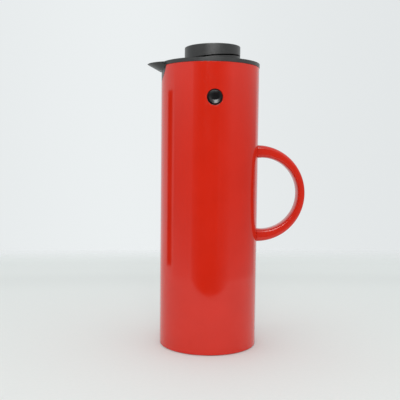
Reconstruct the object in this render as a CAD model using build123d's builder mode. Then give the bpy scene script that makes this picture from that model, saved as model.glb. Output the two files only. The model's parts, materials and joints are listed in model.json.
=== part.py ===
from build123d import *
import os
from math import cos, radians, sin, tan

os.makedirs("parts", exist_ok=True)

# A vacuum jug with a rocker stopper. Millimetres, +Z up. The origin is the centre of the
# rest face, on the body's axis. The spout points along -X and the handle along +X.
# XZ is the plane of symmetry.

# ---- Overall sizes ----
body_radius = 50.0
shell_top = 284.3
shell_wall = 2.6
neck_bore = 23.0
glass_wall = 1.5
rim_height = 3.7
drum_height = 20.9

# ---- Clearances ----
slip = 0.3
fit_gap = 0.2
running_gap = 0.05
edge_gap = 0.5

# ---- Shell ----
table_gap = 0.5
shell_bore = body_radius - shell_wall
ledge_reach = 2.3
ledge_bottom = 8.0
ledge_height = 3.0
lug_span = 36.0
lug_count = 3
merge = 0.5

# ---- Handle ----
handle_drop = 127.7
handle_height = shell_top - handle_drop
handle_outer_radius = 50.0
handle_inner_radius = 37.0
handle_inner_reach = 5.0
handle_width = 18.0
handle_edge_round = 3.8
screw_radius = 1.75
screw_shift = 0.3
screw_offset = (handle_outer_radius + handle_inner_radius) / 2 - screw_shift
screw_length = 15.0
screw_tip_room = 1.0
screw_head_radius = 3.6
screw_head_height = 2.2
screw_socket_flats = 2.0
screw_socket_depth = 1.2

# ---- Base cap, its gasket and the foot pad ----
pad_thickness = 1.6
pad_inset = 8.0
pad_radius = body_radius - pad_inset
cap_bottom = 0.6
flange_top = 4.4
cap_wall_top = 14.0
cap_wall_thickness = 3.0
cap_wall_gap = 2.6
cap_wall_radius = shell_bore - cap_wall_gap
lug_height = 2.7
gasket_height = 2.2
grip_length = 32.0
grip_width = 13.0
grip_offset = 19.0
grip_top = 8.0
grip_wall = 1.8
grip_round = 4.0

# ---- Flask ----
flask_air = 3.8
flask_radius = shell_bore - flask_air
vacuum_gap = 2.4
neck_vacuum_gap = 2.0
flask_bottom = 14.0
base_round = 24.0
lip_drop = 14.0
lip_height = 2.0
shoulder_drop = 46.0
flask_shoulder = shell_top - shoulder_drop
lip_top = shell_top - lip_drop
outer_neck_radius = neck_bore + 2 * glass_wall + neck_vacuum_gap
neck_seal_inset = 1.0
shoulder_step = flask_radius - outer_neck_radius
shoulder_round = 0.65 * shoulder_step
neck_round = 0.2 * shoulder_step
shoulder_gap = 5.0
nipple_height = 3.0
nipple_root_radius = 3.5
nipple_tip_radius = 1.2
spacer_height = 10.0
spacer_span = 14.0
spacer_level = 62.0
spacer_count = 3
cushion_width = 5.8
cushion_top = 27.0
ring_drop = 73.0
ring_height = 6.0

# ---- Collar ----
rim_overhang = 0.3
rim_top = shell_top + rim_height
rim_land = 1.9
rim_slope = 1.2
dish_drop = 5.3
dish_floor = rim_top - dish_drop
dish_wall = 2.2
skirt_wall = 1.8
skirt_bottom = flask_shoulder
mouth_step = 3.0
mouth_radius = neck_bore + mouth_step
mouth_wall = 2.4
gasket_thickness = 2.0
mouth_bottom = lip_top + gasket_thickness
floor_width = 5.5

# ---- Spout ----
spout_reach = 16.5
spout_plan_length = 18.0
spout_half_width = 18.0
spout_slope = 27.8
spout_fall = 0.05
spout_fall_start = 10.0
spout_wall = 1.7
notch_depth = 15.0
notch_radius = 21.0
notch_centre = shell_top - notch_depth + notch_radius

# ---- Release buttons ----
button_drop = 33.7
button_level = shell_top - button_drop
button_radius = 6.65
button_gap = 1.15
button_hole_radius = button_radius + button_gap
button_recess = 0.6
button_rim_width = 1.15
button_dish_radius = button_radius - button_rim_width
button_dish_depth = 1.4
button_flange_width = 1.75
button_flange_radius = button_radius + button_flange_width
button_flange_thickness = 1.4
button_edge_round = 0.6
button_flange_depth = 3.2
button_seat = shell_bore - button_flange_depth
tail_length = 1.4
tail_radius = 2.2
sleeve_gap = 1.8
sleeve_bore = button_flange_radius + sleeve_gap
sleeve_wall = 1.4
spring_room = 4.9
spring_inset = 3.8
spring_radius = button_flange_radius - spring_inset
spring_wire_radius = 0.4
spring_turns = 2.5
retainer_thickness = 1.2
retainer_hole_radius = 2.8

# ---- Stopper drum ----
drum_offset = 2.0
drum_cover = 2.4
drum_radius = mouth_radius + drum_cover
drum_wall = 2.2
drum_top = shell_top + drum_height
drum_top_tilt = 1.4
drum_edge_round = 0.6
slit_height = 8.6
slit_angle = 5.2
slit_gap = 1.3
slit_level = shell_top + slit_height
window_height = 3.4
window_span = 70.0

# ---- Rocker ----
rocker_travel = 6.0
hinge_inset = 8.4
hinge_x = drum_offset + drum_radius - hinge_inset
hinge_rise = 2.3
hinge_level = slit_level + hinge_rise
axle_radius = 1.5
lug_eye_radius = 3.2
ear_inner = 7.6
ear_thickness = 2.6
rocker_lug_thickness = 2.6
rocker_lug_gap = 0.4
boss_radius = 5.0
boss_length = 9.5

# ---- Plug and valve ----
plug_gap = 1.5
plug_radius = neck_bore - plug_gap
plug_wall = 1.6
plug_cavity = plug_radius - plug_wall
plug_drop = 28.5
seat_bottom = shell_top - plug_drop
seat_thickness = 2.5
seat_top = seat_bottom + seat_thickness
stopper_gasket_reach = 1.2
stopper_gasket_height = 3.0
stopper_gasket_rise = 6.5
stopper_gasket_level = seat_bottom + stopper_gasket_rise
gasket_groove_depth = 0.6
valve_swing = (hinge_level - seat_top) * sin(radians(rocker_travel))
valve_clearance = 2.3
valve_radius = plug_cavity - valve_swing - valve_clearance
seal_width = 2.7
seat_width = 3.1
seat_bore = valve_radius - seat_width
seal_thickness = 0.8
disc_thickness = 2.4
hub_radius = 5.5
hub_height = 5.6
stem_radius = 3.0
stem_thin_radius = 2.4
weight_clearance = 1.4
weight_radius = seat_bore - weight_clearance
weight_height = 14.0
weight_drop = 9.5
weight_round = 1.0
nut_flats = 8.0
nut_height = 4.0
stem_tail = 1.0


def ring_sector(outer, inner, height, span):
    """A piece of a ring that stands on XY, centred on +X."""
    with BuildPart() as sector:
        with BuildSketch(Plane.XZ):
            with Locations(((outer + inner) / 2, height / 2)):
                Rectangle(outer - inner, height)
        revolve(axis=Axis.Z, revolution_arc=span)
    return sector.part.rotate(Axis.Z, -span / 2)


def ring(outer, inner, bottom, top):
    """A plain ring about the Z axis."""
    with BuildPart() as body:
        with BuildSketch(Plane.XY.offset(bottom)):
            Circle(outer)
            Circle(inner, mode=Mode.SUBTRACT)
        extrude(amount=top - bottom)
    return body.part


def bottle(radius, neck, bottom, shoulder, top, rounds):
    """A solid bottle about the Z axis, with rounds at its base, shoulder and neck."""
    with BuildPart() as body:
        with BuildSketch(Plane.XZ):
            with BuildLine():
                FilletPolyline(
                    (0, bottom),
                    (radius, bottom),
                    (radius, shoulder),
                    (neck, shoulder),
                    (neck, top),
                    radius=rounds,
                )
                Polyline((neck, top), (0, top), (0, bottom))
            make_face()
        revolve(axis=Axis.Z)
    return body.part


def tilted_plane(x, z, angle):
    """A plane through (x, 0, z) that rises towards +X by the angle."""
    turn = radians(angle)
    return Plane(origin=(x, 0, z), x_dir=(cos(turn), 0, sin(turn)), z_dir=(-sin(turn), 0, cos(turn)))


def spout_form(wall, inner_end, floor):
    """The spout's sloping elliptical tube, cut off by its rim above and a flat floor below.

    It is an ellipse swept along the spout's slope, so that the level rim is a longer ellipse."""
    tip = -(body_radius + spout_reach)
    rim_centre = tip + spout_plan_length
    slope = radians(spout_slope)
    along = Vector(cos(slope), 0, -sin(slope))
    start = Vector(rim_centre, 0, rim_top) - along * spout_plan_length * 2
    with BuildPart() as form:
        with BuildSketch(Plane(origin=start, x_dir=(0, 1, 0), z_dir=along)):
            Ellipse(spout_half_width - wall, spout_plan_length * sin(slope) - wall)
        extrude(amount=spout_plan_length * 5)
        with BuildSketch(Plane.XZ):
            with BuildLine():
                Polyline(
                    (inner_end, floor),
                    (inner_end, rim_top + wall),
                    (spout_fall_start - body_radius, rim_top + wall),
                    (-2 * body_radius, rim_top + wall - (body_radius + spout_fall_start) * spout_fall),
                    (-2 * body_radius, floor),
                    close=True,
                )
            make_face()
        extrude(amount=body_radius, both=True, mode=Mode.INTERSECT)
    return form.part


# ---- Shell: the outer tube, with the spout's notch and the holes for buttons and screws ----
ledge = ring_sector(shell_bore + merge, shell_bore - ledge_reach, ledge_height, lug_span)

with BuildPart() as shell:
    with BuildSketch(Plane.XY.offset(table_gap)):
        Circle(body_radius)
        Circle(shell_bore, mode=Mode.SUBTRACT)
    extrude(amount=shell_top - table_gap)
    with Locations((0, 0, ledge_bottom)):
        with PolarLocations(0, lug_count):
            add(ledge)
    with BuildSketch(Plane.YZ.offset(-body_radius - merge)):
        with Locations((0, notch_centre)):
            Circle(notch_radius)
    extrude(amount=body_radius / 2, mode=Mode.SUBTRACT)
    with BuildSketch(Plane.XZ):
        with Locations((0, button_level)):
            Circle(button_hole_radius)
    extrude(amount=2 * body_radius, both=True, mode=Mode.SUBTRACT)
    with BuildSketch(Plane.YZ):
        with Locations((0, handle_height + screw_offset), (0, handle_height - screw_offset)):
            Circle(screw_radius + fit_gap)
    extrude(amount=2 * body_radius, mode=Mode.SUBTRACT)

shell.part.label = "shell"
export_step(shell.part, "parts/shell.step")

# ---- Handle: a C-shaped loop, thinner at its far side than at its roots ----
with BuildPart() as handle:
    with BuildSketch(Plane.XZ):
        with Locations((body_radius, handle_height)):
            Circle(handle_outer_radius)
        with Locations((body_radius + handle_inner_reach, handle_height)):
            Circle(handle_inner_radius, mode=Mode.SUBTRACT)
    extrude(amount=handle_width / 2, both=True)
    fillet(handle.edges().filter_by(GeomType.CIRCLE), handle_edge_round)
    with BuildSketch(Plane.XY):
        Circle(body_radius)
    extrude(amount=shell_top, mode=Mode.SUBTRACT)
    with BuildSketch(Plane.YZ.offset(shell_bore)):
        with Locations((0, handle_height + screw_offset), (0, handle_height - screw_offset)):
            Circle(screw_radius)
    extrude(amount=screw_length + screw_tip_room, mode=Mode.SUBTRACT)

handle.part.label = "handle"
export_step(handle.part, "parts/handle.step")

# ---- Handle screws: driven from inside the shell into the handle's roots ----
head_seat = shell_bore - fit_gap

with BuildPart() as handle_screws:
    with BuildSketch(Plane.YZ.offset(head_seat - screw_head_height)):
        with Locations((0, handle_height + screw_offset), (0, handle_height - screw_offset)):
            Circle(screw_head_radius)
    extrude(amount=screw_head_height)
    with BuildSketch(Plane.YZ.offset(head_seat)):
        with Locations((0, handle_height + screw_offset), (0, handle_height - screw_offset)):
            Circle(screw_radius)
    extrude(amount=screw_length)
    with BuildSketch(Plane.YZ.offset(head_seat - screw_head_height)):
        with Locations((0, handle_height + screw_offset), (0, handle_height - screw_offset)):
            RegularPolygon(screw_socket_flats / 2, 6, major_radius=False)
    extrude(amount=screw_socket_depth, mode=Mode.SUBTRACT)

handle_screws.part.label = "handle_screws"
export_step(handle_screws.part, "parts/handle_screws.step")

# ---- Foot pad: the rubber disc that the jug stands on, open under the finger grips ----
with BuildPart() as foot_pad:
    with BuildSketch():
        Circle(pad_radius)
        with Locations((0, grip_offset), (0, -grip_offset)):
            RectangleRounded(
                grip_length + 2 * edge_gap, grip_width + 2 * edge_gap, grip_round, mode=Mode.SUBTRACT
            )
    extrude(amount=pad_thickness)

foot_pad.part.label = "foot_pad"
export_step(foot_pad.part, "parts/foot_pad.step")

# ---- Base cap: closes the shell, with lugs that turn over the shell's ledges ----
cap_lug = ring_sector(shell_bore - slip, cap_wall_radius - merge, lug_height, lug_span)

with BuildPart() as base_cap:
    with BuildSketch(Plane.XY.offset(cap_bottom)):
        Circle(shell_bore - slip)
    extrude(amount=flange_top - cap_bottom)
    with BuildSketch(Plane.XY.offset(flange_top)):
        Circle(cap_wall_radius)
        Circle(cap_wall_radius - cap_wall_thickness, mode=Mode.SUBTRACT)
    extrude(amount=cap_wall_top - flange_top)
    with Locations((0, 0, cap_wall_top - lug_height)):
        with PolarLocations(0, lug_count):
            add(cap_lug)
    with BuildSketch(Plane.XY.offset(flange_top)):
        with Locations((0, grip_offset), (0, -grip_offset)):
            RectangleRounded(
                grip_length + 2 * grip_wall, grip_width + 2 * grip_wall, grip_round + grip_wall
            )
    extrude(amount=grip_top + grip_wall - flange_top)
    with BuildSketch(Plane.XY):
        with Locations((0, grip_offset), (0, -grip_offset)):
            RectangleRounded(grip_length, grip_width, grip_round)
    extrude(amount=grip_top, mode=Mode.SUBTRACT)
    with BuildSketch(Plane.XY):
        Circle(pad_radius + fit_gap)
    extrude(amount=pad_thickness, mode=Mode.SUBTRACT)

base_cap.part.label = "base_cap"
export_step(base_cap.part, "parts/base_cap.step")

# ---- Base gasket: a ring round the base cap's wall, above its flange ----
gasket_ring = ring(shell_bore - fit_gap / 2, cap_wall_radius, flange_top, flange_top + gasket_height)

with BuildPart() as base_gasket:
    add(gasket_ring)

base_gasket.part.label = "base_gasket"
export_step(base_gasket.part, "parts/base_gasket.step")

# ---- Flask: two glass bottles, one in the other, joined by the lip at the neck ----
outer_skin = bottle(
    flask_radius,
    outer_neck_radius,
    flask_bottom,
    flask_shoulder,
    lip_top - lip_height,
    [base_round, shoulder_round, neck_round],
)
outer_bore = bottle(
    flask_radius - glass_wall,
    outer_neck_radius - glass_wall,
    flask_bottom + glass_wall,
    flask_shoulder - glass_wall,
    lip_top,
    [base_round - glass_wall, shoulder_round - glass_wall, neck_round + glass_wall],
)

with BuildPart() as flask_outer_glass:
    with Locations((0, 0, flask_bottom - nipple_height / 2 + merge)):
        Cone(nipple_tip_radius, nipple_root_radius, nipple_height)
    add(outer_skin)
    add(outer_bore, mode=Mode.SUBTRACT)

flask_outer_glass.part.label = "flask_outer_glass"
export_step(flask_outer_glass.part, "parts/flask_outer_glass.step")

inner_radius = flask_radius - glass_wall - vacuum_gap
inner_shoulder = flask_shoulder - shoulder_gap
inner_bottom = flask_bottom + glass_wall + vacuum_gap
inner_skin = bottle(
    inner_radius,
    neck_bore + glass_wall,
    inner_bottom,
    inner_shoulder,
    lip_top - lip_height,
    [base_round - vacuum_gap, shoulder_round, neck_round],
)
inner_bore = bottle(
    inner_radius - glass_wall,
    neck_bore,
    inner_bottom + glass_wall,
    inner_shoulder - glass_wall,
    lip_top + merge,
    [base_round - vacuum_gap - glass_wall, shoulder_round - glass_wall, neck_round + glass_wall],
)

with BuildPart() as flask_inner_glass:
    add(inner_skin)
    with BuildSketch(Plane.XY.offset(lip_top - lip_height)):
        Circle(outer_neck_radius)
    extrude(amount=lip_height)
    fillet(flask_inner_glass.edges().group_by(Axis.Z)[-1], lip_height / 3)
    add(inner_bore, mode=Mode.SUBTRACT)

flask_inner_glass.part.label = "flask_inner_glass"
export_step(flask_inner_glass.part, "parts/flask_inner_glass.step")

# ---- Flask spacers: pads that hold the two bottles apart ----
spacer = ring_sector(
    flask_radius - glass_wall - fit_gap / 2, inner_radius + fit_gap / 2, spacer_height, spacer_span
)

with BuildPart() as flask_spacers:
    with Locations((0, 0, spacer_level)):
        with PolarLocations(0, spacer_count):
            add(spacer)

flask_spacers.part.label = "flask_spacers"
export_step(flask_spacers.part, "parts/flask_spacers.step")

# ---- Flask cushion: a rubber ring on the base cap, hollowed to the flask's round base ----
cushion_radius = cap_wall_radius - cap_wall_thickness - edge_gap
cushion_ring = ring(cushion_radius, cushion_radius - cushion_width, flange_top, cushion_top)
cushion_hollow = bottle(
    flask_radius + fit_gap,
    outer_neck_radius,
    flask_bottom - fit_gap,
    flask_shoulder,
    lip_top,
    [base_round + fit_gap, shoulder_round, neck_round],
)

with BuildPart() as flask_cushion:
    add(cushion_ring)
    add(cushion_hollow, mode=Mode.SUBTRACT)

flask_cushion.part.label = "flask_cushion"
export_step(flask_cushion.part, "parts/flask_cushion.step")

# ---- Centring ring: rubber, between the flask and the shell below the shoulder ----
ring_bottom = shell_top - ring_drop
centring = ring(shell_bore - fit_gap, flask_radius + fit_gap, ring_bottom, ring_bottom + ring_height)

with BuildPart() as centering_ring:
    add(centring)

centering_ring.part.label = "centering_ring"
export_step(centering_ring.part, "parts/centering_ring.step")

# ---- Neck gasket: between the glass lip and the collar's mouth ----
mouth_gasket = ring(mouth_radius + mouth_wall, neck_bore + neck_seal_inset, lip_top, mouth_bottom)

with BuildPart() as neck_gasket:
    add(mouth_gasket)

neck_gasket.part.label = "neck_gasket"
export_step(neck_gasket.part, "parts/neck_gasket.step")

# ---- Collar: rim, pouring dish, mouth, spout, apron and the buttons' sleeves ----
skirt_radius = shell_bore - slip
skirt_bore = skirt_radius - skirt_wall
rim_radius = body_radius + rim_overhang
rim_bore = rim_radius - rim_land - rim_slope
floor_radius = mouth_radius + floor_width
dish_rise = rim_top - rim_slope - dish_floor
dish_slope = dish_rise / (rim_bore - floor_radius)
skirt_top = dish_floor - dish_wall + (skirt_bore - floor_radius) * dish_slope
spout_outside = spout_form(0.0, -mouth_radius, dish_floor - dish_wall)
spout_channel = spout_form(spout_wall, -mouth_radius + spout_wall, dish_floor)

with BuildPart() as collar:
    with BuildSketch(Plane.XZ):
        with BuildLine():
            Polyline(
                (mouth_radius, mouth_bottom),
                (mouth_radius, dish_floor),
                (floor_radius, dish_floor),
                (rim_bore, rim_top - rim_slope),
                (rim_bore + rim_slope, rim_top),
                (rim_radius, rim_top),
                (rim_radius, shell_top),
                (skirt_radius, shell_top),
                (skirt_radius, skirt_bottom),
                (skirt_bore, skirt_bottom),
                (skirt_bore, skirt_top),
                (floor_radius, dish_floor - dish_wall),
                (mouth_radius + mouth_wall, dish_floor - dish_wall),
                (mouth_radius + mouth_wall, mouth_bottom),
                close=True,
            )
        make_face()
    revolve(axis=Axis.Z)
    add(spout_outside)
    # The dish stays open over the spout's root.
    with BuildSketch(Plane.XZ):
        with BuildLine():
            Polyline(
                (0, dish_floor),
                (floor_radius, dish_floor),
                (rim_bore, rim_top - rim_slope),
                (rim_bore + rim_slope, rim_top),
                (rim_bore + rim_slope, rim_top + rim_height),
                (0, rim_top + rim_height),
                close=True,
            )
        make_face()
    revolve(axis=Axis.Z, mode=Mode.SUBTRACT)
    # The apron stands in the shell's notch, flush with the shell.
    with BuildSketch(Plane.XY.offset(shell_top - notch_depth)):
        Circle(body_radius - fit_gap)
        Circle(skirt_bore, mode=Mode.SUBTRACT)
        with Locations((body_radius, 0)):
            Rectangle(3 * body_radius, 3 * body_radius, mode=Mode.SUBTRACT)
    apron_ring = extrude(amount=notch_depth, mode=Mode.PRIVATE)
    with BuildSketch(Plane.YZ.offset(-body_radius)):
        with Locations((0, notch_centre)):
            Circle(notch_radius - edge_gap)
    apron_block = extrude(amount=body_radius / 2, mode=Mode.PRIVATE)
    add(apron_ring & apron_block)
    add(spout_channel, mode=Mode.SUBTRACT)
    with BuildSketch(Plane.XY.offset(mouth_bottom)):
        Circle(mouth_radius)
    extrude(amount=shell_top, mode=Mode.SUBTRACT)
    # Each button's sleeve runs inward from the skirt.
    for side in (-1, 1):
        sleeve_end = button_seat - button_flange_thickness - spring_room - retainer_thickness
        with BuildSketch(Plane.XZ.offset(side * sleeve_end)):
            with Locations((0, button_level)):
                Circle(sleeve_bore + sleeve_wall)
        sleeve = extrude(amount=side * (skirt_radius - sleeve_end), mode=Mode.PRIVATE)
        with BuildSketch(Plane.XY.offset(skirt_bottom)):
            Circle(skirt_radius)
        bounds = extrude(amount=shell_top - skirt_bottom, mode=Mode.PRIVATE)
        add(sleeve & bounds)
        with BuildSketch(Plane.XZ.offset(side * sleeve_end)):
            with Locations((0, button_level)):
                Circle(sleeve_bore)
        extrude(amount=side * (button_seat - sleeve_end), mode=Mode.SUBTRACT)
        with BuildSketch(Plane.XZ.offset(side * sleeve_end)):
            with Locations((0, button_level)):
                Circle(button_radius + slip)
        extrude(amount=side * body_radius, mode=Mode.SUBTRACT)

collar.part.label = "collar"
export_step(collar.part, "parts/collar.step")

# ---- Release button: dished outside, with a flange and a short tail inside ----
button_face = body_radius - button_recess
flange_face = button_seat - fit_gap / 2
flange_back = flange_face - button_flange_thickness
dish_ball_radius = (button_dish_radius**2 + button_dish_depth**2) / (2 * button_dish_depth)

with BuildPart() as release_button:
    with BuildSketch(Plane.XZ.offset(flange_back)):
        with Locations((0, button_level)):
            Circle(button_flange_radius)
    extrude(amount=button_flange_thickness)
    with BuildSketch(Plane.XZ.offset(flange_face)):
        with Locations((0, button_level)):
            Circle(button_radius)
    extrude(amount=button_face - flange_face)
    fillet(release_button.edges().group_by(Axis.Y)[0], button_edge_round)
    with Locations((0, -(button_face - button_dish_depth + dish_ball_radius), button_level)):
        Sphere(dish_ball_radius, mode=Mode.SUBTRACT)
    with BuildSketch(Plane.XZ.offset(flange_back - tail_length)):
        with Locations((0, button_level)):
            Circle(tail_radius)
    extrude(amount=tail_length)

# ---- Button spring: a short coil between the button's flange and the retainer ----
retainer_face = button_seat - button_flange_thickness - spring_room
coil_start = retainer_face + spring_wire_radius + fit_gap / 2
coil_length = flange_back - retainer_face - 2 * spring_wire_radius - fit_gap
coil_foot = (0, -coil_start, button_level)

with BuildPart() as button_spring:
    with BuildLine():
        coil = Helix(coil_length / spring_turns, coil_length, spring_radius, coil_foot, (0, -1, 0))
    with BuildSketch(Plane(origin=coil @ 0, z_dir=coil % 0)):
        Circle(spring_wire_radius)
    sweep(path=coil, is_frenet=True)

# ---- Button retainer: a disc pressed into the sleeve behind the spring ----
with BuildPart() as button_retainer:
    with BuildSketch(Plane.XZ.offset(retainer_face - retainer_thickness)):
        with Locations((0, button_level)):
            Circle(sleeve_bore)
            Circle(retainer_hole_radius, mode=Mode.SUBTRACT)
    extrude(amount=retainer_thickness)

for side, turn in (("left", 0), ("right", 180)):
    for kind, piece in (
        ("release_button", release_button),
        ("button_spring", button_spring),
        ("button_retainer", button_retainer),
    ):
        placed = piece.part.rotate(Axis.Z, turn)
        placed.label = f"{kind}_{side}"
        export_step(placed, f"parts/{kind}_{side}.step")

# ---- Stopper base: the plug, the valve seat and the drum's lower ring with the hinge ears ----
drum_bottom = dish_floor + slip
slit_plane = tilted_plane(drum_offset, slit_level, slit_angle)
upper_radius = mouth_radius - slip
upper_cavity = upper_radius - drum_wall
upper_bottom = mouth_bottom + edge_gap
lug_bottom = drum_bottom + drum_wall
window = ring_sector(drum_radius + drum_offset + merge, mouth_radius / 2, window_height, window_span)

with BuildPart() as stopper_base:
    with BuildSketch(Plane.XY.offset(drum_bottom)):
        with Locations((drum_offset, 0)):
            Circle(drum_radius)
    extrude(amount=drum_height)
    with BuildSketch(Plane.XY.offset(lug_bottom)):
        with Locations((drum_offset, 0)):
            Circle(drum_radius - drum_wall)
    extrude(amount=drum_height, mode=Mode.SUBTRACT)
    split(bisect_by=slit_plane, keep=Keep.BOTTOM)
    with BuildSketch(Plane.XY.offset(upper_bottom)):
        Circle(upper_radius)
    extrude(amount=drum_bottom - upper_bottom)
    with BuildSketch(Plane.XY.offset(seat_bottom)):
        Circle(plug_radius)
    extrude(amount=upper_bottom - seat_bottom)
    with BuildSketch(Plane.XY.offset(seat_top)):
        Circle(plug_cavity)
    extrude(amount=upper_bottom - seat_top + plug_wall, mode=Mode.SUBTRACT)
    with BuildSketch(Plane.XY.offset(upper_bottom + plug_wall)):
        Circle(upper_cavity)
    extrude(amount=lug_bottom - upper_bottom - plug_wall, mode=Mode.SUBTRACT)
    with BuildSketch(Plane.XY.offset(seat_bottom)):
        Circle(seat_bore)
    extrude(amount=seat_thickness, mode=Mode.SUBTRACT)
    # The gasket's groove round the plug.
    with BuildSketch(Plane.XY.offset(stopper_gasket_level)):
        Circle(plug_radius + merge)
        Circle(plug_radius - gasket_groove_depth, mode=Mode.SUBTRACT)
    extrude(amount=stopper_gasket_height, mode=Mode.SUBTRACT)
    # Two ears carry the axle.
    for side in (-1, 1):
        near, far = sorted((side * ear_inner, side * (ear_inner + ear_thickness)))
        with BuildSketch(Plane.XZ.offset(-far)):
            with Locations((hinge_x, hinge_level)):
                Circle(lug_eye_radius)
            with Locations((hinge_x, (hinge_level + drum_bottom) / 2)):
                Rectangle(2 * lug_eye_radius, hinge_level - drum_bottom)
            with Locations((hinge_x, hinge_level)):
                Circle(axle_radius, mode=Mode.SUBTRACT)
        extrude(amount=far - near)
    # The pouring window faces the spout.
    with Locations(Location((0, 0, lug_bottom), (0, 0, 180))):
        add(window, mode=Mode.SUBTRACT)

stopper_base.part.label = "stopper_base"
export_step(stopper_base.part, "parts/stopper_base.step")

# ---- Stopper gasket: seals the plug in the flask's neck ----
plug_gasket = ring(
    plug_radius + stopper_gasket_reach,
    plug_radius - gasket_groove_depth,
    stopper_gasket_level,
    stopper_gasket_level + stopper_gasket_height,
)

with BuildPart() as stopper_gasket:
    add(plug_gasket)
    outer_edges = stopper_gasket.edges().filter_by(GeomType.CIRCLE).sort_by(SortBy.RADIUS)[-2:]
    fillet(outer_edges, stopper_gasket_reach / 2)

stopper_gasket.part.label = "stopper_gasket"
export_step(stopper_gasket.part, "parts/stopper_gasket.step")

# ---- Hinge axle: held in the ears, with the rocker's lugs free to turn on it ----
axle_half_length = ear_inner + ear_thickness

with BuildPart() as hinge_axle:
    with BuildSketch(Plane.XZ):
        with Locations((hinge_x, hinge_level)):
            Circle(axle_radius)
    extrude(amount=axle_half_length, both=True)

hinge_axle.part.label = "hinge_axle"
export_step(hinge_axle.part, "parts/hinge_axle.step")

# ---- Rocker cap: the drum's hollow upper part, with its lugs and the stem's boss ----
cap_top_plane = tilted_plane(drum_offset, drum_top, drum_top_tilt)

with BuildPart() as cap_hollow:
    with BuildSketch(Plane.XY.offset(shell_top)):
        with Locations((drum_offset, 0)):
            Circle(drum_radius - drum_wall)
    extrude(amount=2 * drum_height)
    split(bisect_by=cap_top_plane.offset(-drum_wall), keep=Keep.BOTTOM)

with BuildPart() as rocker_cap:
    with BuildSketch(Plane.XY.offset(shell_top)):
        with Locations((drum_offset, 0)):
            Circle(drum_radius)
    extrude(amount=2 * drum_height)
    split(bisect_by=cap_top_plane, keep=Keep.BOTTOM)
    fillet(rocker_cap.edges().group_by(Axis.Z)[-1], drum_edge_round)
    split(bisect_by=slit_plane.offset(slit_gap * cos(radians(slit_angle))), keep=Keep.TOP)
    add(cap_hollow.part, mode=Mode.SUBTRACT)
    lug_outer = ear_inner - rocker_lug_gap
    for side in (-1, 1):
        near, far = sorted((side * lug_outer, side * (lug_outer - rocker_lug_thickness)))
        with BuildSketch(Plane.XZ.offset(-far)):
            with Locations((hinge_x, hinge_level)):
                Circle(lug_eye_radius)
            with Locations((hinge_x, (hinge_level + drum_top - drum_wall / 2) / 2)):
                Rectangle(2 * lug_eye_radius, drum_top - drum_wall / 2 - hinge_level)
            with Locations((hinge_x, hinge_level)):
                Circle(axle_radius + running_gap, mode=Mode.SUBTRACT)
        extrude(amount=far - near)
    with BuildSketch(Plane.XY.offset(drum_top - drum_wall - boss_length)):
        Circle(boss_radius)
    extrude(amount=boss_length + drum_wall / 2)
    with BuildSketch(Plane.XY.offset(drum_top - drum_wall - boss_length)):
        Circle(stem_radius)
    extrude(amount=boss_length - drum_wall, mode=Mode.SUBTRACT)

rocker_cap.part.label = "rocker_cap"
export_step(rocker_cap.part, "parts/rocker_cap.step")

# ---- Valve stem: hangs from the rocker, thick above the weight and thin through it ----
stem_top = drum_top - 2 * drum_wall
weight_top = seat_bottom - weight_drop
weight_bottom = weight_top - weight_height
stem_bottom = weight_bottom - nut_height - stem_tail

with BuildPart() as valve_stem:
    with BuildSketch(Plane.XY.offset(stem_bottom)):
        Circle(stem_thin_radius)
    extrude(amount=weight_top - stem_bottom)
    with BuildSketch(Plane.XY.offset(weight_top)):
        Circle(stem_radius)
    extrude(amount=stem_top - weight_top)

valve_stem.part.label = "valve_stem"
export_step(valve_stem.part, "parts/valve_stem.step")

# ---- Valve seal and valve disc: rest over the seat, carried by the stem ----
seal_bottom = seat_top + fit_gap
disc_bottom = seal_bottom + seal_thickness
seal_ring = ring(valve_radius, valve_radius - seal_width, seal_bottom, disc_bottom)

with BuildPart() as valve_seal:
    add(seal_ring)

valve_seal.part.label = "valve_seal"
export_step(valve_seal.part, "parts/valve_seal.step")

with BuildPart() as valve_disc:
    with BuildSketch(Plane.XY.offset(disc_bottom)):
        Circle(valve_radius)
    extrude(amount=disc_thickness)
    with BuildSketch(Plane.XY.offset(disc_bottom + disc_thickness)):
        Circle(hub_radius)
    extrude(amount=hub_height)
    with BuildSketch(Plane.XY.offset(disc_bottom)):
        Circle(stem_radius)
    extrude(amount=disc_thickness + hub_height, mode=Mode.SUBTRACT)

valve_disc.part.label = "valve_disc"
export_step(valve_disc.part, "parts/valve_disc.step")

# ---- Counterweight and its nut: swing the rocker open as the jug is tipped ----
with BuildPart() as counterweight:
    with BuildSketch(Plane.XY.offset(weight_bottom)):
        Circle(weight_radius)
    extrude(amount=weight_height)
    fillet(counterweight.edges().filter_by(GeomType.CIRCLE), weight_round)
    with BuildSketch(Plane.XY.offset(weight_bottom)):
        Circle(stem_thin_radius)
    extrude(amount=weight_height, mode=Mode.SUBTRACT)

counterweight.part.label = "counterweight"
export_step(counterweight.part, "parts/counterweight.step")

with BuildPart() as weight_nut:
    with BuildSketch(Plane.XY.offset(weight_bottom - nut_height)):
        RegularPolygon(nut_flats / 2, 6, major_radius=False)
        Circle(stem_thin_radius, mode=Mode.SUBTRACT)
    extrude(amount=nut_height)

weight_nut.part.label = "weight_nut"
export_step(weight_nut.part, "parts/weight_nut.step")
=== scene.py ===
import json
from math import acos, asin, atan2, copysign, cos, degrees, pi, radians, sin, sqrt

import bmesh
import bpy
from mathutils import Matrix, Vector


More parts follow.
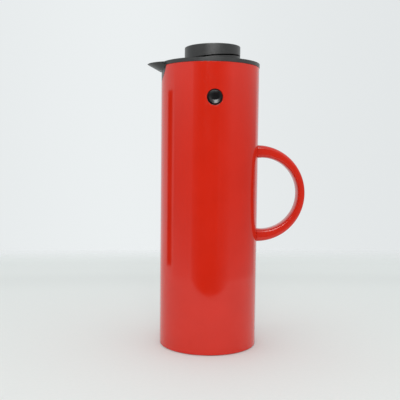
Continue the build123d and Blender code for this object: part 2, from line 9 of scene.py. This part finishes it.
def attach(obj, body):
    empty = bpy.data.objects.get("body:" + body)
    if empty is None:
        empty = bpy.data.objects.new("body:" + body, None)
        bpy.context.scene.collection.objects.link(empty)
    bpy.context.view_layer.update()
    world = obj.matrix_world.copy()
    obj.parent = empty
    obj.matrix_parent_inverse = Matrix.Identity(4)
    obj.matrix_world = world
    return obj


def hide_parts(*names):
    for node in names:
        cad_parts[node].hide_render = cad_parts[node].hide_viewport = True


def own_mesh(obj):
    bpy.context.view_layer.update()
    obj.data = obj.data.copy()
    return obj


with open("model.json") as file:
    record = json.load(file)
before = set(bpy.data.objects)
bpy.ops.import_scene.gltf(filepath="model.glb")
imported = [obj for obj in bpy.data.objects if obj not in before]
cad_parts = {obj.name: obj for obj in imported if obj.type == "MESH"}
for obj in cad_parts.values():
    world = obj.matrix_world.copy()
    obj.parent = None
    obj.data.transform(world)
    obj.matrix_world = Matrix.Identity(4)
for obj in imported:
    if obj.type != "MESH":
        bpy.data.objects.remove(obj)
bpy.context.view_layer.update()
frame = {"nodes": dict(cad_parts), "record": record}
nodes = frame["nodes"]
mm = 0.001
EDGE_ROUND = 0.5 * mm


# ---- Materials ----
NOISE_MIDDLE = (0.3, 0.7)


def new_material(name):
    """A node material that holds only a Principled shader: the material, its tree and the shader."""
    material = bpy.data.materials.new(name)
    material.use_nodes = True
    tree = material.node_tree
    tree.nodes.clear()
    shader = tree.nodes.new("ShaderNodeBsdfPrincipled")
    output = tree.nodes.new("ShaderNodeOutputMaterial")
    tree.links.new(shader.outputs[0], output.inputs["Surface"])
    return material, tree, shader


def noise(tree, scale, detail=2.0, stretch=(1.0, 1.0, 1.0)):
    """Noise in the object's own space, with features of about 1/scale metres."""
    place = tree.nodes.new("ShaderNodeTexCoord")
    mapping = tree.nodes.new("ShaderNodeMapping")
    mapping.inputs["Scale"].default_value = stretch
    texture = tree.nodes.new("ShaderNodeTexNoise")
    texture.inputs["Scale"].default_value = scale
    texture.inputs["Detail"].default_value = detail
    tree.links.new(place.outputs["Object"], mapping.inputs["Vector"])
    tree.links.new(mapping.outputs["Vector"], texture.inputs["Vector"])
    return texture.outputs["Fac"]


def spread(tree, value, low, high):
    """Maps the middle of a noise's range onto low to high."""
    ramp = tree.nodes.new("ShaderNodeMapRange")
    ramp.inputs["From Min"].default_value = NOISE_MIDDLE[0]
    ramp.inputs["From Max"].default_value = NOISE_MIDDLE[1]
    ramp.inputs["To Min"].default_value = low
    ramp.inputs["To Max"].default_value = high
    tree.links.new(value, ramp.inputs["Value"])
    return ramp.outputs["Result"]


def tone(tree, value, first, second):
    """A colour between two, chosen by a noise."""
    ramp = tree.nodes.new("ShaderNodeValToRGB")
    ramp.color_ramp.elements[0].position = NOISE_MIDDLE[0]
    ramp.color_ramp.elements[0].color = (*first, 1.0)
    ramp.color_ramp.elements[1].position = NOISE_MIDDLE[1]
    ramp.color_ramp.elements[1].color = (*second, 1.0)
    tree.links.new(value, ramp.inputs["Fac"])
    return ramp.outputs["Color"]


def bumps(tree, layers):
    """A normal from several noises, each (value, height in metres), over edges softened by their radius."""
    soften = tree.nodes.new("ShaderNodeBevel")
    soften.samples = 4
    soften.inputs["Radius"].default_value = EDGE_ROUND
    normal = soften.outputs["Normal"]
    for value, height in layers:
        bump = tree.nodes.new("ShaderNodeBump")
        bump.inputs["Strength"].default_value = 1.0
        bump.inputs["Distance"].default_value = height
        tree.links.new(value, bump.inputs["Height"])
        tree.links.new(normal, bump.inputs["Normal"])
        normal = bump.outputs["Normal"]
    return normal


def plastic(name, first, second, rough, grain, grain_height, wave_height=0.0):
    """Moulded plastic: two close tones, roughness that varies like handling marks, and a fine grain."""
    material, tree, shader = new_material(name)
    patches = noise(tree, 35.0, 3.0)
    smears = noise(tree, 90.0, 4.0, (1.0, 1.0, 0.35))
    tree.links.new(tone(tree, patches, first, second), shader.inputs["Base Color"])
    tree.links.new(spread(tree, smears, *rough), shader.inputs["Roughness"])
    layers = [(noise(tree, grain, 1.0), grain_height)]
    if wave_height:
        layers.append((noise(tree, 22.0, 1.0, (1.0, 1.0, 0.25)), wave_height))
    tree.links.new(bumps(tree, layers), shader.inputs["Normal"])
    return material


red_plastic = plastic(
    "red_gloss_plastic", (0.605, 0.0175, 0.0052), (0.640, 0.0195, 0.0066), (0.05, 0.10), 900.0, 2e-7, 2.5e-5
)
black_plastic = plastic(
    "black_satin_plastic", (0.022, 0.0228, 0.0226), (0.027, 0.0279, 0.0276), (0.30, 0.42), 2200.0, 6e-6
)
button_plastic = plastic(
    "black_gloss_plastic", (0.006, 0.006, 0.0065), (0.009, 0.009, 0.0095), (0.10, 0.16), 1500.0, 3e-7
)
black_rubber = plastic(
    "black_rubber", (0.020, 0.020, 0.020), (0.030, 0.030, 0.030), (0.62, 0.78), 1800.0, 1.2e-5
)
grey_rubber = plastic(
    "grey_rubber", (0.24, 0.24, 0.24), (0.30, 0.30, 0.295), (0.55, 0.7), 1600.0, 1e-5
)
spacer_pad = plastic("spacer_pad", (0.52, 0.50, 0.44), (0.62, 0.60, 0.54), (0.7, 0.85), 1400.0, 2e-5)


def silicone():
    material, tree, shader = new_material("clear_silicone")
    haze = noise(tree, 120.0, 3.0)
    tree.links.new(tone(tree, haze, (0.72, 0.73, 0.71), (0.80, 0.80, 0.78)), shader.inputs["Base Color"])
    tree.links.new(spread(tree, haze, 0.28, 0.42), shader.inputs["Roughness"])
    tree.links.new(bumps(tree, [(noise(tree, 1500.0, 1.0), 3e-6)]), shader.inputs["Normal"])
    shader.inputs["Transmission Weight"].default_value = 0.45
    shader.inputs["Subsurface Weight"].default_value = 0.3
    shader.inputs["Subsurface Scale"].default_value = 0.002
    shader.inputs["IOR"].default_value = 1.41
    return material


def silvered_glass():
    material, tree, shader = new_material("silvered_glass")
    cloud = noise(tree, 45.0, 3.0)
    tree.links.new(tone(tree, cloud, (0.78, 0.80, 0.82), (0.86, 0.88, 0.89)), shader.inputs["Base Color"])
    tree.links.new(spread(tree, cloud, 0.04, 0.12), shader.inputs["Roughness"])
    tree.links.new(bumps(tree, [(noise(tree, 60.0, 2.0), 2e-5)]), shader.inputs["Normal"])
    shader.inputs["Metallic"].default_value = 0.9
    shader.inputs["Coat Weight"].default_value = 1.0
    shader.inputs["Coat Roughness"].default_value = 0.02
    return material


def steel():
    material, tree, shader = new_material("brushed_steel")
    brushing = noise(tree, 260.0, 4.0, (1.0, 1.0, 9.0))
    tree.links.new(tone(tree, brushing, (0.54, 0.54, 0.53), (0.66, 0.66, 0.65)), shader.inputs["Base Color"])
    tree.links.new(spread(tree, brushing, 0.22, 0.38), shader.inputs["Roughness"])
    tree.links.new(bumps(tree, [(brushing, 4e-6)]), shader.inputs["Normal"])
    shader.inputs["Metallic"].default_value = 1.0
    return material


slot_materials = {
    "red_plastic": red_plastic,
    "black_plastic": black_plastic,
    "gloss_black_plastic": button_plastic,
    "black_rubber": black_rubber,
    "grey_rubber": grey_rubber,
    "clear_silicone": silicone(),
    "flask_glass": silvered_glass(),
    "spacer_pad": spacer_pad,
    "steel": steel(),
}

slot_of = {}
for part in frame["record"]["subparts"]:
    node = nodes[part["node"]]
    slot_of[part["node"]] = part["material_slot"]
    node.data.materials.clear()
    node.data.materials.append(slot_materials[part["material_slot"]])

# ---- Sizes, in millimetres, as in the CAD ----
BODY_RADIUS = 50.0
SHELL_WALL = 2.6
SHELL_BOTTOM = 0.5
SHELL_TOP = 284.3
BUTTON_LEVEL = 250.6
BUTTON_HOLE = 7.8
NOTCH_CENTRE = 290.3
NOTCH_RADIUS = 21.0
HANDLE_HEIGHT = 156.6
HANDLE_OUTER = 50.0
HANDLE_INNER = 37.0
HANDLE_INNER_REACH = 5.0
HANDLE_WIDTH = 18.0

# ---- Pieces: a turn in radians, a distance in millimetres and an angle in degrees ----
FULL_TURN = 2 * pi
WELD_DISTANCE = 0.001
SWEPT_SHARP_ANGLE = 60.0


def piece(name, points, faces, stands_for, body):
    """A smooth mesh piece, in millimetres, that stands for a CAD node and rides on its body."""
    mesh = bpy.data.meshes.new(name)
    mesh.from_pydata([(x * mm, y * mm, z * mm) for x, y, z in points], [], faces)
    weld = bmesh.new()
    weld.from_mesh(mesh)
    bmesh.ops.remove_doubles(weld, verts=weld.verts, dist=WELD_DISTANCE * mm)
    bmesh.ops.recalc_face_normals(weld, faces=weld.faces)
    weld.to_mesh(mesh)
    weld.free()
    mesh.shade_smooth()
    mesh.materials.append(slot_materials[slot_of[stands_for]])
    made = bpy.data.objects.new(name, mesh)
    bpy.context.scene.collection.objects.link(made)
    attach(made, body)
    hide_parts(stands_for)
    return made


def band(rows, width, closed=True):
    """Quad faces between rows of width points, numbered row by row. A closed row is a loop."""
    faces = []
    for i in range(rows - 1):
        for k in range(width if closed else width - 1):
            m = (k + 1) % width
            faces.append((i * width + k, i * width + m, (i + 1) * width + m, (i + 1) * width + k))
    return faces


def end_caps(rows, width):
    """Faces that close the first and the last of the closed rows."""
    return [tuple(range(width)), tuple(range((rows - 1) * width, rows * width))[::-1]]


# ---- Shell: a sheet rolled round the body, with patches of rings round its holes ----
COLUMNS = 192
COLUMN = 360.0 / COLUMNS
PATCH_HALF = 8
PATCH_REACH = 13.0
PATCH_RINGS = 6
NOTCH_HALF = 16
NOTCH_RINGS = 8
RING_CROWDING = 1.3
LOWER_ROWS = 24
UPPER_ROWS = 6
BUTTON_TURNS = (90.0, 270.0)
NOTCH_TURN = 180.0
LEVEL_GAP = 0.01
SHELL_EDGE_ROUND = 0.45
SHELL_EDGE_SEGMENTS = 3
SHELL_EDGE_ANGLE = 50.0
patch_bottom = BUTTON_LEVEL - PATCH_REACH
patch_top = BUTTON_LEVEL + PATCH_REACH


def spaced(start, end, count):
    """Evenly spaced values from start to end, both included, with count steps."""
    return [start + (end - start) * i / count for i in range(count + 1)]


band_rows = spaced(patch_bottom, patch_top, 2 * PATCH_HALF)
lower_rows = spaced(SHELL_BOTTOM, patch_bottom, LOWER_ROWS)[:-1]
upper_rows = spaced(patch_top, SHELL_TOP, UPPER_ROWS)[1:]
levels = lower_rows + band_rows + upper_rows


def on_shell(turn, level):
    """A point of the shell's outside. The turn is in degrees from +X towards +Y."""
    return (BODY_RADIUS * cos(radians(turn)), BODY_RADIUS * sin(radians(turn)), level)


def shell_patch(middle, rim, outline, painted_shade_ring):
    """Points in rings from a hole's rim out to the outline of the columns left free for it."""
    points = []
    for i in range(painted_shade_ring + 1):
        mix = (i / painted_shade_ring) ** RING_CROWDING
        for (a, b), (c, d) in zip(rim, outline):
            points.append(on_shell(middle + a + (c - a) * mix, b + (d - b) * mix))
    return points


def turn_between(first, second):
    """The smaller angle between two directions, in degrees."""
    return abs((first - second + 180.0) % 360.0 - 180.0)


def turn_at(across):
    """How far round the shell a point lies that is this far to the side, in degrees."""
    return degrees(asin(across / BODY_RADIUS))


def button_patch():
    """A button hole's rim and the square outline round it, as (turn, level) pairs."""
    reach = PATCH_HALF * COLUMN
    side = [(k - PATCH_HALF) * COLUMN for k in range(2 * PATCH_HALF + 1)]
    outline = [(a, patch_bottom) for a in side[:-1]] + [(reach, b) for b in band_rows[:-1]]
    outline += [(a, patch_top) for a in side[:0:-1]] + [(-reach, b) for b in band_rows[:0:-1]]
    rim = []
    for a, b in outline:
        turn = atan2(b - BUTTON_LEVEL, radians(a) * BODY_RADIUS)
        rim.append((turn_at(BUTTON_HOLE * cos(turn)), BUTTON_LEVEL + BUTTON_HOLE * sin(turn)))
    return rim, outline


def notch_patch():
    """The notch's rim and the outline round it, open at the shell's top, as (turn, level) pairs."""
    reach = NOTCH_HALF * COLUMN
    down = [(-reach, b) for b in [patch_top] + upper_rows][::-1]
    along = [((k - NOTCH_HALF) * COLUMN, patch_top) for k in range(1, 2 * NOTCH_HALF)]
    outline = down + along + [(-a, b) for a, b in down[::-1]]
    half_turn = acos((NOTCH_CENTRE - SHELL_TOP) / NOTCH_RADIUS)
    rim = []
    for turn in spaced(-half_turn, half_turn, len(outline) - 1):
        level = NOTCH_CENTRE - NOTCH_RADIUS * cos(turn)
        rim.append((turn_at(NOTCH_RADIUS * sin(turn)), min(level, SHELL_TOP)))
    return rim, outline


def build_shell():
    """The red body: columns of quads, with a patch of rings wherever a hole or the notch is."""
    points, faces = [], []

    def add(new_points, new_faces):
        first = len(points)
        points.extend(new_points)
        faces.extend(tuple(first + i for i in face) for face in new_faces)

    for i in range(COLUMNS):
        turn = i * COLUMN
        middle = turn + COLUMN / 2
        by_button = min(turn_between(middle, hole) for hole in BUTTON_TURNS) < PATCH_HALF * COLUMN
        by_notch = turn_between(middle, NOTCH_TURN) < NOTCH_HALF * COLUMN
        for low, high in zip(levels, levels[1:]):
            if by_button and patch_bottom - LEVEL_GAP < low < patch_top - LEVEL_GAP:
                continue
            if by_notch and low > patch_top - LEVEL_GAP:
                continue
            corners = ((turn, low), (turn + COLUMN, low), (turn + COLUMN, high), (turn, high))
            add([on_shell(*corner) for corner in corners], [(0, 1, 2, 3)])

    rim, outline = button_patch()
    for hole in BUTTON_TURNS:
        add(shell_patch(hole, rim, outline, PATCH_RINGS), band(PATCH_RINGS + 1, len(rim)))
    rim, outline = notch_patch()
    add(shell_patch(NOTCH_TURN, rim, outline, NOTCH_RINGS), band(NOTCH_RINGS + 1, len(rim), closed=False))

    made = piece("shell_tube", points, faces, "shell", "jug")
    wall = made.modifiers.new("wall", "SOLIDIFY")
    wall.thickness = SHELL_WALL * mm
    wall.offset = -1.0
    wall.use_even_offset = True
    edge = made.modifiers.new("edge", "BEVEL")
    edge.width = SHELL_EDGE_ROUND * mm
    edge.segments = SHELL_EDGE_SEGMENTS
    edge.limit_method = "ANGLE"
    edge.angle_limit = radians(SHELL_EDGE_ANGLE)
    edge.harden_normals = True


# ---- Handle: a rounded section swept between its two circles, flush on the shell ----
HANDLE_STEPS = 96
SECTION_STEPS = 56
SECTION_POWER = 0.60


def handle_section(outer, inner):
    """A rounded oblong across the loop, from the outer circle's point to the inner's."""
    middle = (outer + inner) / 2
    way = (outer - inner).normalized()
    half = (outer - inner).length / 2
    section = []
    for k in range(SECTION_STEPS):
        turn = FULL_TURN * k / SECTION_STEPS
        a = half * copysign(abs(cos(turn)) ** SECTION_POWER, cos(turn))
        b = HANDLE_WIDTH / 2 * copysign(abs(sin(turn)) ** SECTION_POWER, sin(turn))
        section.append((middle.x + way.x * a, b, middle.y + way.y * a))
    return section


def handle_root(side):
    """The loop's top (1) or bottom (-1) end, laid onto the shell's round."""
    inner_drop = sqrt(HANDLE_INNER ** 2 - HANDLE_INNER_REACH ** 2)
    outer = Vector((BODY_RADIUS, HANDLE_HEIGHT + side * HANDLE_OUTER))
    inner = Vector((BODY_RADIUS, HANDLE_HEIGHT + side * inner_drop))
    return [(sqrt(BODY_RADIUS ** 2 - y * y), y, z) for x, y, z in handle_section(outer, inner)]


def build_handle():
    """The loop, from its bottom end on the shell round to its top end."""
    outer_middle = Vector((BODY_RADIUS, HANDLE_HEIGHT))
    inner_middle = Vector((BODY_RADIUS + HANDLE_INNER_REACH, HANDLE_HEIGHT))
    points = handle_root(-1)
    for turn in spaced(-pi / 2, pi / 2, HANDLE_STEPS):
        way = Vector((cos(turn), sin(turn)))
        points += handle_section(outer_middle + way * HANDLE_OUTER, inner_middle + way * HANDLE_INNER)
    points += handle_root(1)
    rows = HANDLE_STEPS + 3
    faces = band(rows, SECTION_STEPS) + end_caps(rows, SECTION_STEPS)
    made = piece("handle_loop", points, faces, "handle", "jug")
    made.data.set_sharp_from_angle(angle=radians(SWEPT_SHARP_ANGLE))


# ---- Release buttons: dished discs, turned about Y ----
BUTTON_STEPS = 96
BUTTON_FACE_CENTRE = 48.0
BUTTON_TAIL_END = 41.3
BUTTON_SHARP_ANGLE = 55.0
# The profile's points are (radius, distance from the jug's axis), from the face out and round to the tail.
BUTTON_DISH = ((1.5, 48.03), (3.0, 48.22), (4.2, 48.6), (5.0, 49.0), (5.45, 49.28))
BUTTON_RIM = ((5.75, 49.39), (6.05, 49.4), (6.35, 49.32), (6.56, 49.12), (6.65, 48.8))
BUTTON_FLANGE = ((6.65, 44.35), (6.75, 44.15), (7.0, 44.1), (8.1, 44.1), (8.33, 44.0), (8.4, 43.8))
BUTTON_BACK = ((8.4, 42.9), (8.3, 42.75), (8.1, 42.7), (2.2, 42.7), (2.2, BUTTON_TAIL_END))


def build_button(name, body, side):
    """The button on one side of the jug: -1 for the left one, 1 for the right one."""
    profile = BUTTON_DISH + BUTTON_RIM + BUTTON_FLANGE + BUTTON_BACK
    points = []
    for radius, reach in profile:
        for k in range(BUTTON_STEPS):
            turn = FULL_TURN * k / BUTTON_STEPS
            points.append((radius * cos(turn), side * reach, BUTTON_LEVEL + radius * sin(turn)))
    faces = band(len(profile), BUTTON_STEPS)
    front, back = len(points), len(points) + 1
    points.append((0.0, side * BUTTON_FACE_CENTRE, BUTTON_LEVEL))
    points.append((0.0, side * BUTTON_TAIL_END, BUTTON_LEVEL))
    last = (len(profile) - 1) * BUTTON_STEPS
    for k in range(BUTTON_STEPS):
        after = (k + 1) % BUTTON_STEPS
        faces.append((front, after, k))
        faces.append((back, last + k, last + after))
    made = piece(name, points, faces, "release_" + body, body)
    made.data.set_sharp_from_angle(angle=radians(BUTTON_SHARP_ANGLE))


# ---- Button springs: coils behind the buttons ----
SPRING_RADIUS = 4.6
SPRING_WIRE = 0.4
SPRING_TURNS = 2.5
COIL_START = 38.4
COIL_END = 42.2
COIL_STEPS = 120
WIRE_STEPS = 12


def build_spring(name, stands_for, side):
    """The coil behind one button."""
    points = []
    for i in range(COIL_STEPS + 1):
        mix = i / COIL_STEPS
        turn = FULL_TURN * SPRING_TURNS * mix
        reach = COIL_START + (COIL_END - COIL_START) * mix
        for k in range(WIRE_STEPS):
            around = FULL_TURN * k / WIRE_STEPS
            radius = SPRING_RADIUS + SPRING_WIRE * cos(around)
            along = reach + SPRING_WIRE * sin(around)
            points.append((radius * cos(turn), side * along, BUTTON_LEVEL + radius * sin(turn)))
    faces = band(COIL_STEPS + 1, WIRE_STEPS) + end_caps(COIL_STEPS + 1, WIRE_STEPS)
    made = piece(name, points, faces, stands_for, "jug")
    made.data.set_sharp_from_angle(angle=radians(SWEPT_SHARP_ANGLE))
    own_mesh(made)


build_spring("coil_left", "button_spring_left", -1)
build_spring("coil_right", "button_spring_right", 1)
build_shell()
build_handle()
build_button("push_button_left", "button_left", -1)
build_button("push_button_right", "button_right", 1)

# ---- Stage, in metres: a pale oval floor that fades into the pale surroundings ----
FLOOR_RADIUS = 0.70
FLOOR_STRETCH = 3.0
FLOOR_SEGMENTS = 96
FLOOR_FADE_START = 0.46
# A faint ring of painted shade on the floor, as (distance, level) stops.
FLOOR_PAINTED_SHADE_RING = ((0.0, 1.0), (0.25, 1.0), (0.35, 0.965), (0.42, 1.0))


def ramp_of(tree, value, stops, blend="B_SPLINE"):
    """A grey level along a value, through (position, level) stops, smoothed."""
    ramp = tree.nodes.new("ShaderNodeValToRGB")
    ramp.color_ramp.interpolation = blend
    elements = ramp.color_ramp.elements
    while len(elements) < len(stops):
        elements.new(0.5)
    for element, (position, level) in zip(elements, stops):
        element.position = position
        element.color = (level, level, level, 1.0)
    tree.links.new(value, ramp.inputs["Fac"])
    return ramp.outputs["Color"]


def floor_material():
    """Pale paper with a faint darker ring of painted shade, that turns clear towards the floor's edge."""
    material, tree, shader = new_material("pale_floor")
    shader.inputs["Roughness"].default_value = 0.75
    shader.inputs["Specular IOR Level"].default_value = 0.25
    fibres = noise(tree, 300.0, 4.0)
    paper = tone(tree, fibres, (0.818, 0.838, 0.818), (0.834, 0.853, 0.834))
    place = tree.nodes.new("ShaderNodeTexCoord")
    length = tree.nodes.new("ShaderNodeVectorMath")
    length.operation = "LENGTH"
    narrow = tree.nodes.new("ShaderNodeVectorMath")
    narrow.operation = "MULTIPLY"
    narrow.inputs[1].default_value = (1.0 / FLOOR_STRETCH, 1.0, 1.0)
    tree.links.new(place.outputs["Object"], narrow.inputs[0])
    tree.links.new(narrow.outputs[0], length.inputs[0])
    fade = tree.nodes.new("ShaderNodeMapRange")
    fade.interpolation_type = "SMOOTHSTEP"
    fade.inputs["From Min"].default_value = FLOOR_FADE_START
    fade.inputs["From Max"].default_value = FLOOR_RADIUS
    fade.inputs["To Min"].default_value = 1.0
    fade.inputs["To Max"].default_value = 0.0
    tree.links.new(length.outputs["Value"], fade.inputs["Value"])
    tree.links.new(fade.outputs["Result"], shader.inputs["Alpha"])
    # Painted shade: the paper is multiplied darker in a faint ring.
    painted_shade_ring = ramp_of(tree, length.outputs["Value"], FLOOR_PAINTED_SHADE_RING, "EASE")
    mix = tree.nodes.new("ShaderNodeMix")
    mix.data_type = "RGBA"
    mix.blend_type = "MULTIPLY"
    mix.inputs[0].default_value = 1.0
    tree.links.new(paper, mix.inputs[6])
    tree.links.new(painted_shade_ring, mix.inputs[7])
    tree.links.new(mix.outputs[2], shader.inputs["Base Color"])
    return material


def oval_floor():
    """The floor under the jug, which is part of the stage."""
    mesh = bpy.data.meshes.new("floor")
    turns = [FULL_TURN * i / FLOOR_SEGMENTS for i in range(FLOOR_SEGMENTS)]
    points = [(FLOOR_STRETCH * FLOOR_RADIUS * cos(turn), FLOOR_RADIUS * sin(turn), 0.0) for turn in turns]
    mesh.from_pydata(points, [], [list(range(FLOOR_SEGMENTS))])
    mesh.materials.append(floor_material())
    floor = bpy.data.objects.new("floor", mesh)
    bpy.context.scene.collection.objects.link(floor)


oval_floor()


def card_material(name, brightness, levels, span, edge):
    """Glow by height, through (height / span, level) stops, that clears towards the card's two sides."""
    material = bpy.data.materials.new(name)
    material.use_nodes = True
    tree = material.node_tree
    tree.nodes.clear()
    place = tree.nodes.new("ShaderNodeTexCoord")
    split = tree.nodes.new("ShaderNodeSeparateXYZ")
    tree.links.new(place.outputs["Object"], split.inputs[0])
    height = tree.nodes.new("ShaderNodeMath")
    height.operation = "DIVIDE"
    height.inputs[1].default_value = span
    tree.links.new(split.outputs["Z"], height.inputs[0])
    glow = tree.nodes.new("ShaderNodeEmission")
    tree.links.new(ramp_of(tree, height.outputs[0], levels), glow.inputs["Color"])
    glow.inputs["Strength"].default_value = brightness
    clear = tree.nodes.new("ShaderNodeBsdfTransparent")
    across = tree.nodes.new("ShaderNodeUVMap")
    across.uv_map = "across"
    sideways = tree.nodes.new("ShaderNodeSeparateXYZ")
    tree.links.new(across.outputs[0], sideways.inputs[0])
    cover = ((0.0, 0.0), (edge, 1.0), (1.0 - edge, 1.0), (1.0, 0.0))
    sides = ramp_of(tree, sideways.outputs["X"], cover, "EASE")
    both = tree.nodes.new("ShaderNodeMixShader")
    tree.links.new(sides, both.inputs[0])
    tree.links.new(clear.outputs[0], both.inputs[1])
    tree.links.new(glow.outputs[0], both.inputs[2])
    output = tree.nodes.new("ShaderNodeOutputMaterial")
    tree.links.new(both.outputs[0], output.inputs["Surface"])
    return material


def card(name, line, bottom, top, brightness, edge, levels=((0.0, 1.0), (1.0, 1.0))):
    """A card that stands along a line of (x, y) points. Only gloss sees it. Edge is the share that fades."""
    points = [(x, y, z) for x, y in line for z in (bottom, top)]
    faces = [(2 * i, 2 * i + 1, 2 * i + 3, 2 * i + 2) for i in range(len(line) - 1)]
    mesh = bpy.data.meshes.new(name)
    mesh.from_pydata(points, [], faces)
    layer = mesh.uv_layers.new(name="across")
    for loop in mesh.loops:
        layer.data[loop.index].uv = (loop.vertex_index // 2 / (len(line) - 1), loop.vertex_index % 2)
    mesh.materials.append(card_material(name, brightness, levels, top, edge))
    made = bpy.data.objects.new(name, mesh)
    bpy.context.scene.collection.objects.link(made)
    made.visible_camera = False
    made.visible_diffuse = False
    made.visible_shadow = False
    made.visible_transmission = False


CARD_STEPS = 24
CARD_FOOT = 0.0005
SIDE_DISTANCE = 0.42
SIDE_TOP = 0.75
SIDE_LEVELS = ((0.0, 0.60), (0.05, 0.50), (0.18, 0.24), (0.30, 0.32), (0.42, 0.60), (0.55, 0.95), (0.75, 1.0))


def arc(start, end, distance):
    """Points round the jug. Angles turn from the front (-Y) towards +X."""
    turns = [radians(turn) for turn in spaced(start, end, CARD_STEPS)]
    return [(distance * sin(turn), -distance * cos(turn)) for turn in turns]


def straight(start, end, distance):
    """Points in front of the jug, from one x to another."""
    return [(x, -distance) for x in spaced(start, end, CARD_STEPS)]


card("card_dark_front", straight(-0.43, 0.34, 0.31), CARD_FOOT, 0.38, 0.04, 0.42)
card("card_above", straight(-0.26, 0.20, 0.36), 0.40, 0.85, 9.0, 0.4)
card("card_left", arc(-94.0, 15.0, SIDE_DISTANCE), CARD_FOOT, SIDE_TOP, 1.1, 0.03, SIDE_LEVELS)
card("card_stripe", arc(-118.0, -93.0, 0.41), 0.02, 0.30, 0.02, 0.3)
card("card_right", arc(15.0, 130.0, SIDE_DISTANCE), CARD_FOOT, SIDE_TOP, 0.95, 0.06, SIDE_LEVELS)


JUG_MIDDLE = Vector((0.0, 0.0, 0.15))


def soft_light(name, place, width, power):
    """A square lamp that faces the jug's middle. Gloss doesn't see it."""
    data = bpy.data.lights.new(name, "AREA")
    data.shape = "SQUARE"
    data.size = width
    data.energy = power
    lamp = bpy.data.objects.new(name, data)
    lamp.location = place
    lamp.rotation_mode = "QUATERNION"
    lamp.rotation_quaternion = (JUG_MIDDLE - Vector(place)).to_track_quat("-Z", "Y")
    lamp.visible_glossy = False
    bpy.context.scene.collection.objects.link(lamp)


soft_light("soft_front", (-0.1, -1.3, 0.55), 0.6, 4.2)
soft_light("soft_top", (-0.1, -0.1, 1.1), 0.7, 0.9)

# ---- Room: pale all round, brightest behind the jug ----
ROOM_LEVELS = ((0.0, 0.82), (0.38, 0.835), (0.49, 0.90), (0.58, 0.83), (0.70, 0.80), (1.0, 0.80))
world = bpy.data.worlds.new("pale_room")
world.use_nodes = True
room = world.node_tree
backdrop = room.nodes["Background"]
backdrop.inputs["Color"].default_value = (0.954, 0.991, 1.0, 1.0)
facing = room.nodes.new("ShaderNodeTexCoord")
facing_split = room.nodes.new("ShaderNodeSeparateXYZ")
room.links.new(facing.outputs["Generated"], facing_split.inputs[0])
facing_x = room.nodes.new("ShaderNodeMapRange")
facing_x.inputs["From Min"].default_value = -1.0
room.links.new(facing_split.outputs["X"], facing_x.inputs["Value"])
room.links.new(ramp_of(room, facing_x.outputs["Result"], ROOM_LEVELS), backdrop.inputs["Strength"])
bpy.context.scene.world = world

# ---- Camera: level with the jug's upper half, a little left of its middle ----
CAMERA_PLACE = (-0.0615, -0.6391, 0.1916)
CAMERA_LENS = 55.70
CAMERA_SENSOR = 36.0
CAMERA_YAW = 4.68
CAMERA_PITCH = -3.79
CAMERA_ROLL = 0.63
camera_data = bpy.data.cameras.new("camera")
camera_data.lens = CAMERA_LENS
camera_data.sensor_width = CAMERA_SENSOR
camera = bpy.data.objects.new("camera", camera_data)
yaw, pitch, roll = radians(CAMERA_YAW), radians(CAMERA_PITCH), radians(CAMERA_ROLL)
forward = Vector((sin(yaw) * cos(pitch), cos(yaw) * cos(pitch), sin(pitch)))
right = Vector((cos(yaw), -sin(yaw), 0.0))
up = right.cross(forward)
level_right = right * cos(roll) + up * sin(roll)
level_up = up * cos(roll) - right * sin(roll)
turned = Matrix((level_right, level_up, -forward)).transposed()
camera.matrix_world = Matrix.Translation(CAMERA_PLACE) @ turned.to_4x4()
bpy.context.scene.collection.objects.link(camera)
bpy.context.scene.camera = camera
bpy.context.scene.view_settings.view_transform = "Standard"
